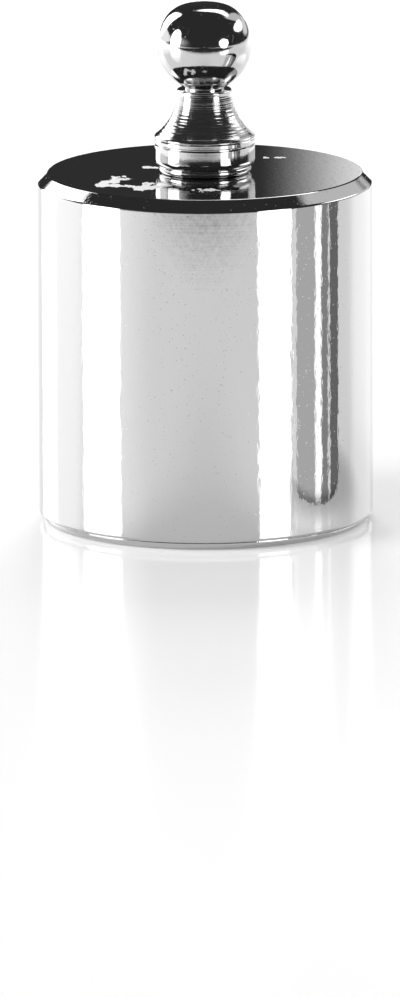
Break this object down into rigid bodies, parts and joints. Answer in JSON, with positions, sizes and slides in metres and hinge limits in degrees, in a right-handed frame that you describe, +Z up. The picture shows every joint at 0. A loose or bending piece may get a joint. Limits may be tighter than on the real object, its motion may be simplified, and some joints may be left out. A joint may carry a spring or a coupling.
{
  "type": "calibration weight",
  "caption": "Cylindrical chrome-plated calibration weight with chamfered rims, a screwed-in ball lifting knob on a flared collar, and a shot-filled adjusting cavity.",
  "frame": {"origin": "middle of the flat underside, on the axis of the turned body", "axes": "+Z up along the axis of the body and knob; X and Y are arbitrary, the outside is a body of revolution"},
  "size_m": [0.0248, 0.0248, 0.0387],
  "materials": {
    "plated_body": "bright chrome plate over turned steel, faint turning lines, fine pits and handling scratches",
    "plated_knob": "bright chrome plate over turned steel, fine turning rings on the flare",
    "shot_steel": "dull, rolled steel shot",
    "wad_foil": "crumpled and pressed foil"
  },
  "bodies": {
    "root": {"body": "plated_body", "lifting_knob": "plated_knob", "adjusting_shot": "shot_steel", "packing_wad": "wad_foil"}
  },
  "joints": []
}
